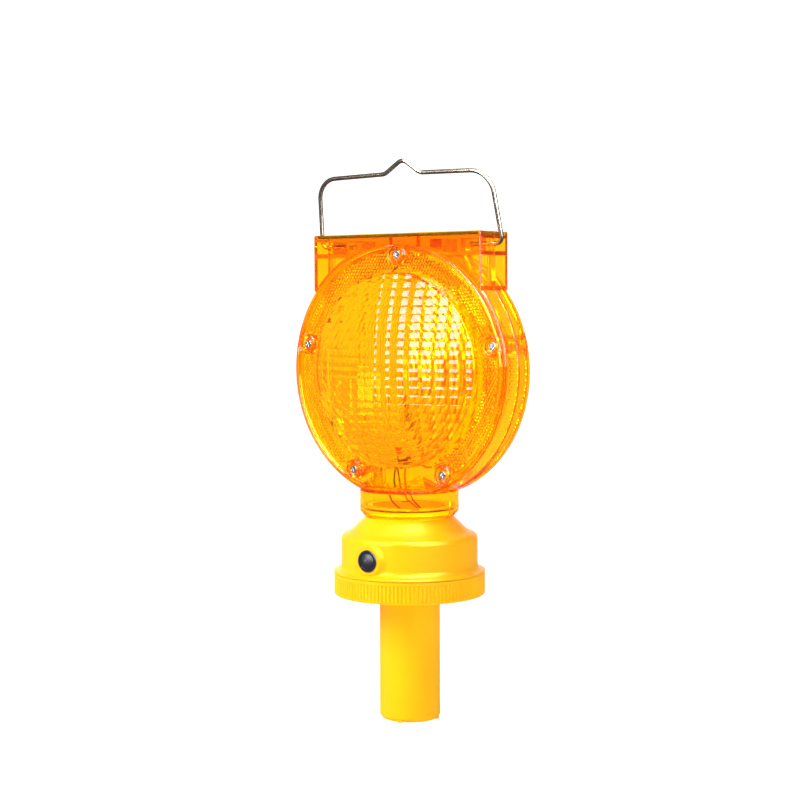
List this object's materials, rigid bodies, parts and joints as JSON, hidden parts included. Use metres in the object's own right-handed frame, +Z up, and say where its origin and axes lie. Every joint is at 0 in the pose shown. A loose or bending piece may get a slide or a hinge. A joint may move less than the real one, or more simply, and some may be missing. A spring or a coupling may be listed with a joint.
{
  "type": "traffic cone warning lamp",
  "caption": "Two-sided round amber warning lamp with a solar top block, wire bail, push button, and a ribbed screw cap with a stem that stands in a traffic cone.",
  "frame": {"origin": "on the stem's axis, at the underside of the cap, where the lamp sits on the cone", "axes": "+Z up along the stem's axis, -Y towards the front with the push button, +X to the right seen from the front"},
  "size_m": [0.185, 0.11, 0.4035],
  "materials": {
    "base_yellow": "opaque glossy moulded plastic",
    "amber_shell": "clear amber moulded plastic",
    "amber_lens": "clear amber moulded plastic with prisms",
    "black_rubber": "smooth moulded rubber",
    "black_plastic": "moulded plastic",
    "bail_wire": "passivated zinc plate",
    "screw_steel": "bright nickel plate",
    "tinned_metal": "tin plate",
    "board_green": "solder mask on glass laminate",
    "white_plastic": "white moulded plastic and white solder mask",
    "cell_sleeve": "shrunk plastic sleeve on a metal can",
    "capacitor_sleeve": "shrunk plastic sleeve on a metal can",
    "solar_face": "epoxy-laminated panel",
    "solar_silicon": "silicon cells with a silver grid",
    "led_resin": "clear epoxy",
    "red_lead": "insulation",
    "black_lead": "insulation"
  },
  "bodies": {
    "cap": {"stem_cap": "base_yellow", "stem_end_plug": "base_yellow"},
    "gasket": {"cap_gasket": "black_rubber"},
    "lamp": {"base_housing": "base_yellow", "neck_seal": "black_rubber", "switch_bushing": "black_plastic", "switch_nut": "tinned_metal", "switch_body": "black_plastic", "switch_leads": "black_lead", "circuit_board": "board_green", "board_screws": "screw_steel", "controller_chip": "black_plastic", "board_capacitor": "capacitor_sleeve", "boost_inductor": "black_plastic", "charge_diode": "black_plastic", "lead_connectors": "white_plastic", "battery_holder": "black_plastic", "battery_left": "cell_sleeve", "battery_right": "cell_sleeve", "battery_springs": "tinned_metal", "battery_contacts": "tinned_metal", "front_shell": "amber_shell", "rear_shell": "amber_shell", "front_lens": "amber_lens", "rear_lens": "amber_lens", "lens_screws": "screw_steel", "solar_laminate": "solar_face", "solar_cells": "solar_silicon", "solar_seal": "black_rubber", "led_bracket": "amber_shell", "led_board": "white_plastic", "front_led": "led_resin", "rear_led": "led_resin", "led_lead_red": "red_lead", "led_lead_black": "black_lead", "solar_lead_red": "red_lead", "solar_lead_black": "black_lead"},
    "button": {"button": "black_rubber"},
    "bail": {"bail_handle": "bail_wire"}
  },
  "joints": [
    {"name": "cap_turn", "type": "hinge", "parent": "cap", "child": "gasket", "pos_m": [0, 0, 0], "axis": [0, 0, 1], "range_deg": [0, 540]},
    {"name": "cap_rise", "type": "slide", "parent": "gasket", "child": "lamp", "axis": [0, 0, 1], "range_m": [0, 0.00601]},
    {"name": "button_press", "type": "slide", "parent": "lamp", "child": "button", "axis": [0, 1, 0], "range_m": [0, 0.0015], "stiffness_N_per_m": 1200},
    {"name": "bail_swing", "type": "hinge", "parent": "lamp", "child": "bail", "pos_m": [0, 0, 0.2509], "axis": [1, 0, 0], "range_deg": [-150, 130]}
  ],
  "couplings": [
    {"joint": "cap_rise", "follows": "cap_turn", "m_per_rad": 0.00063662}
  ]
}
